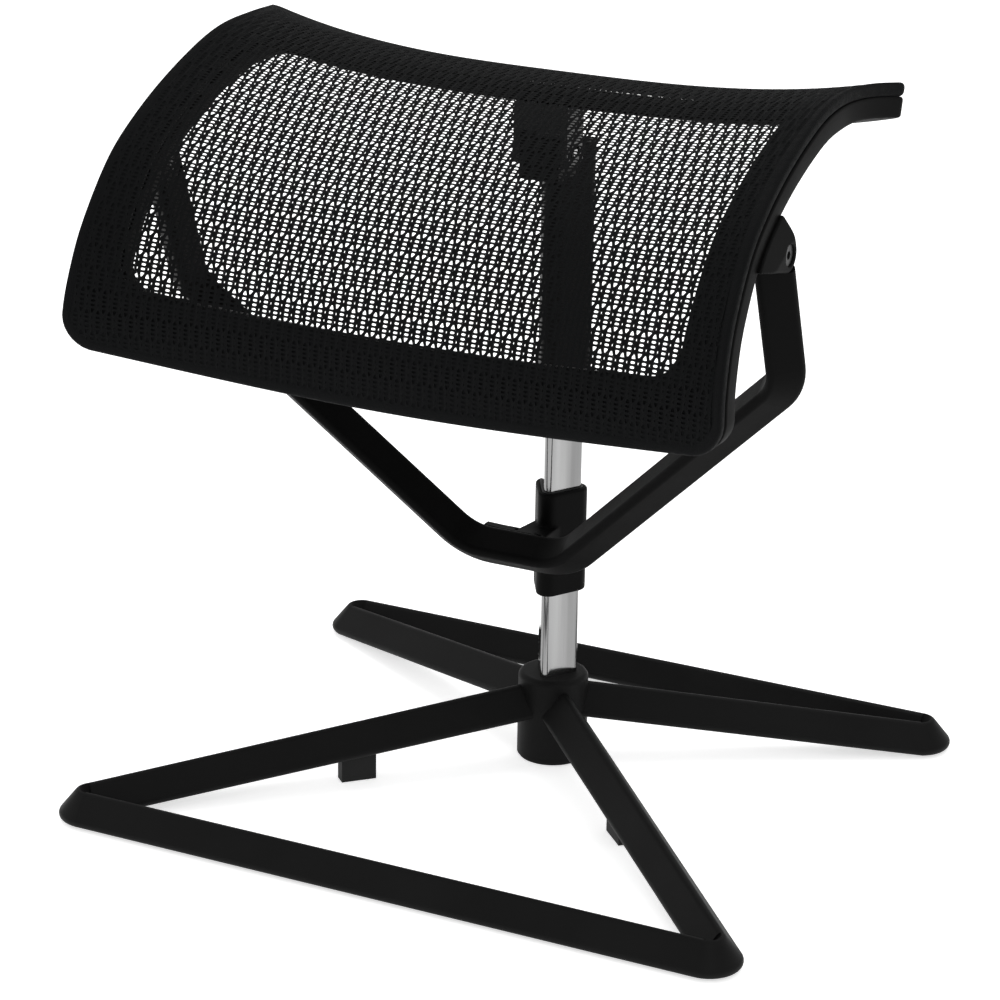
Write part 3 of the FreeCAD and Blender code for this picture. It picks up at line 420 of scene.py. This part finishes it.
def weave():
    """Open knitted cloth over the whole panel, one layer, every hole cut."""
    lowest, highest = -BOTTOM_BOW - 2, LENGTH + 2
    columns = int(2 * (HALF_FRONT + 4) / COLUMN) + 1
    first = -columns * COLUMN / 2
    xs, ss, faces = [], [], []
    index = {}

    def vertex(x, s):
        key = (round(x, 3), round(s, 3))
        if key not in index:
            index[key] = len(xs)
            xs.append(x)
            ss.append(s)
        return index[key]

    for c in range(columns):
        left = first + c * COLUMN
        middle = left + COLUMN / 2
        offset = STACK if c % 2 else 0.0
        start = lowest - 2 * STACK + offset
        while start < highest:
            for kind, width, low, high in ROWS:
                a, b = start + low, start + high
                if b < lowest or a > highest:
                    continue
                points = [(middle + x, s) for x, s in hole(kind, width, b - YARN, a + YARN)]
                inner = [vertex(x, s) for x, s in points]
                half = (a + b) / 2
                outer = [vertex(left + COLUMN, half), vertex(left + COLUMN, b), vertex(middle, b),
                         vertex(left, b), vertex(left, half), vertex(left, a), vertex(middle, a),
                         vertex(left + COLUMN, a)]
                for k in range(8):
                    n = (k + 1) % 8
                    faces.append((outer[k], outer[n], inner[n], inner[k]))
            start += 2 * STACK
    return np.array(xs), np.array(ss), faces


def trim(x, s, faces):
    """Pull what lies outside the panel's outline onto it and drop cells wholly outside."""
    half = half_width(s) - HEM
    low = HEM - bow(x)
    high = np.full_like(s, LENGTH - HEM)
    for radius, sign, edge in ((TRIM_FRONT, 1, low), (TRIM_REAR, -1, high)):
        over = np.clip(np.abs(x) - (half - radius), 0, radius)
        step = radius - np.sqrt(radius ** 2 - over ** 2)
        edge += sign * step
    x_new = np.clip(x, -half, half)
    s_new = np.clip(s, low, high)
    outside = (np.abs(x - x_new) > 0.01) | (np.abs(s - s_new) > 0.01)
    kept = [f for f in faces if not all(outside[i] for i in f)]
    return x_new, s_new, kept


x, s, faces = weave()
x, s, faces = trim(x, s, faces)
ribs = RIB * np.cos(2 * math.pi * x / COLUMN)
cloth = mesh_object("mesh_cloth", on_panel(x, s, CLOTH_DEPTH - ribs), faces)
bm = bmesh.new()
bm.from_mesh(cloth.data)
bmesh.ops.delete(bm, geom=[v for v in bm.verts if not v.link_faces], context="VERTS")
bmesh.ops.dissolve_degenerate(bm, edges=bm.edges, dist=1e-6)
bm.to_mesh(cloth.data)
bm.free()
place(cloth, "panel", "mesh")
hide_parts("mesh_fabric")


# ---------------------------------------------------------------- stage, light and camera

FLOOR_SIZE, FLOOR_Z = 30.0, -0.0005
FLOOR_GLOW, WORLD_STRENGTH = 0.62, 0.70

bpy.ops.mesh.primitive_plane_add(size=FLOOR_SIZE, location=(0, 0, FLOOR_Z))
floor = bpy.context.object
floor.name = "floor"
paper = surface("paper", grey(0.93), grey(0.95), (0.85, 0.95), bump=0.0)
paper_shader = paper.node_tree.nodes["Principled BSDF"]
paper_shader.inputs["Emission Color"].default_value = (1, 1, 1, 1)
paper_shader.inputs["Emission Strength"].default_value = FLOOR_GLOW
floor.data.materials.append(paper)

world = bpy.data.worlds.new("soft_studio")
bpy.context.scene.world = world
world.use_nodes = True
world.node_tree.nodes["Background"].inputs["Color"].default_value = (1, 1, 1, 1)
world.node_tree.nodes["Background"].inputs["Strength"].default_value = WORLD_STRENGTH


def area_light(name, place_at, look_at, size, power):
    """Square lamp at a place, turned to look at another."""
    data = bpy.data.lights.new(name, "AREA")
    data.size = size
    data.energy = power
    lamp = bpy.data.objects.new(name, data)
    bpy.context.collection.objects.link(lamp)
    lamp.location = place_at
    lamp.rotation_mode = "QUATERNION"
    lamp.rotation_quaternion = (Vector(look_at) - Vector(place_at)).to_track_quat("-Z", "Y")
    return lamp


MIDDLE = (0, -0.05, 0.25)
area_light("key", (1.6, -2.2, 2.6), MIDDLE, 1.6, 12)
area_light("fill", (-2.6, -1.4, 1.8), MIDDLE, 1.8, 8)
area_light("top", (0, 0.4, 3.2), (0, 0, 0.3), 2.0, 26)

CAMERA_AT = Vector((1.0052, -2.1420, 1.0643))
LENS, SENSOR = 125.613, 36.0
AZIMUTH, ELEVATION, ROLL = (math.radians(a) for a in (26.142, 20.108, 0.967))
back = Vector((math.sin(AZIMUTH) * math.cos(ELEVATION), -math.cos(AZIMUTH) * math.cos(ELEVATION),
               math.sin(ELEVATION)))
level_right = Vector((math.cos(AZIMUTH), math.sin(AZIMUTH), 0))
level_up = back.cross(level_right)
right = level_right * math.cos(ROLL) + level_up * math.sin(ROLL)
up = level_up * math.cos(ROLL) - level_right * math.sin(ROLL)
camera_data = bpy.data.cameras.new("camera")
camera_data.sensor_width = SENSOR
camera_data.lens = LENS
camera = bpy.data.objects.new("camera", camera_data)
bpy.context.collection.objects.link(camera)
camera.matrix_world = Matrix.Translation(CAMERA_AT) @ Matrix((right, up, back)).transposed().to_4x4()
bpy.context.scene.camera = camera
bpy.context.scene.view_settings.view_transform = "Standard"
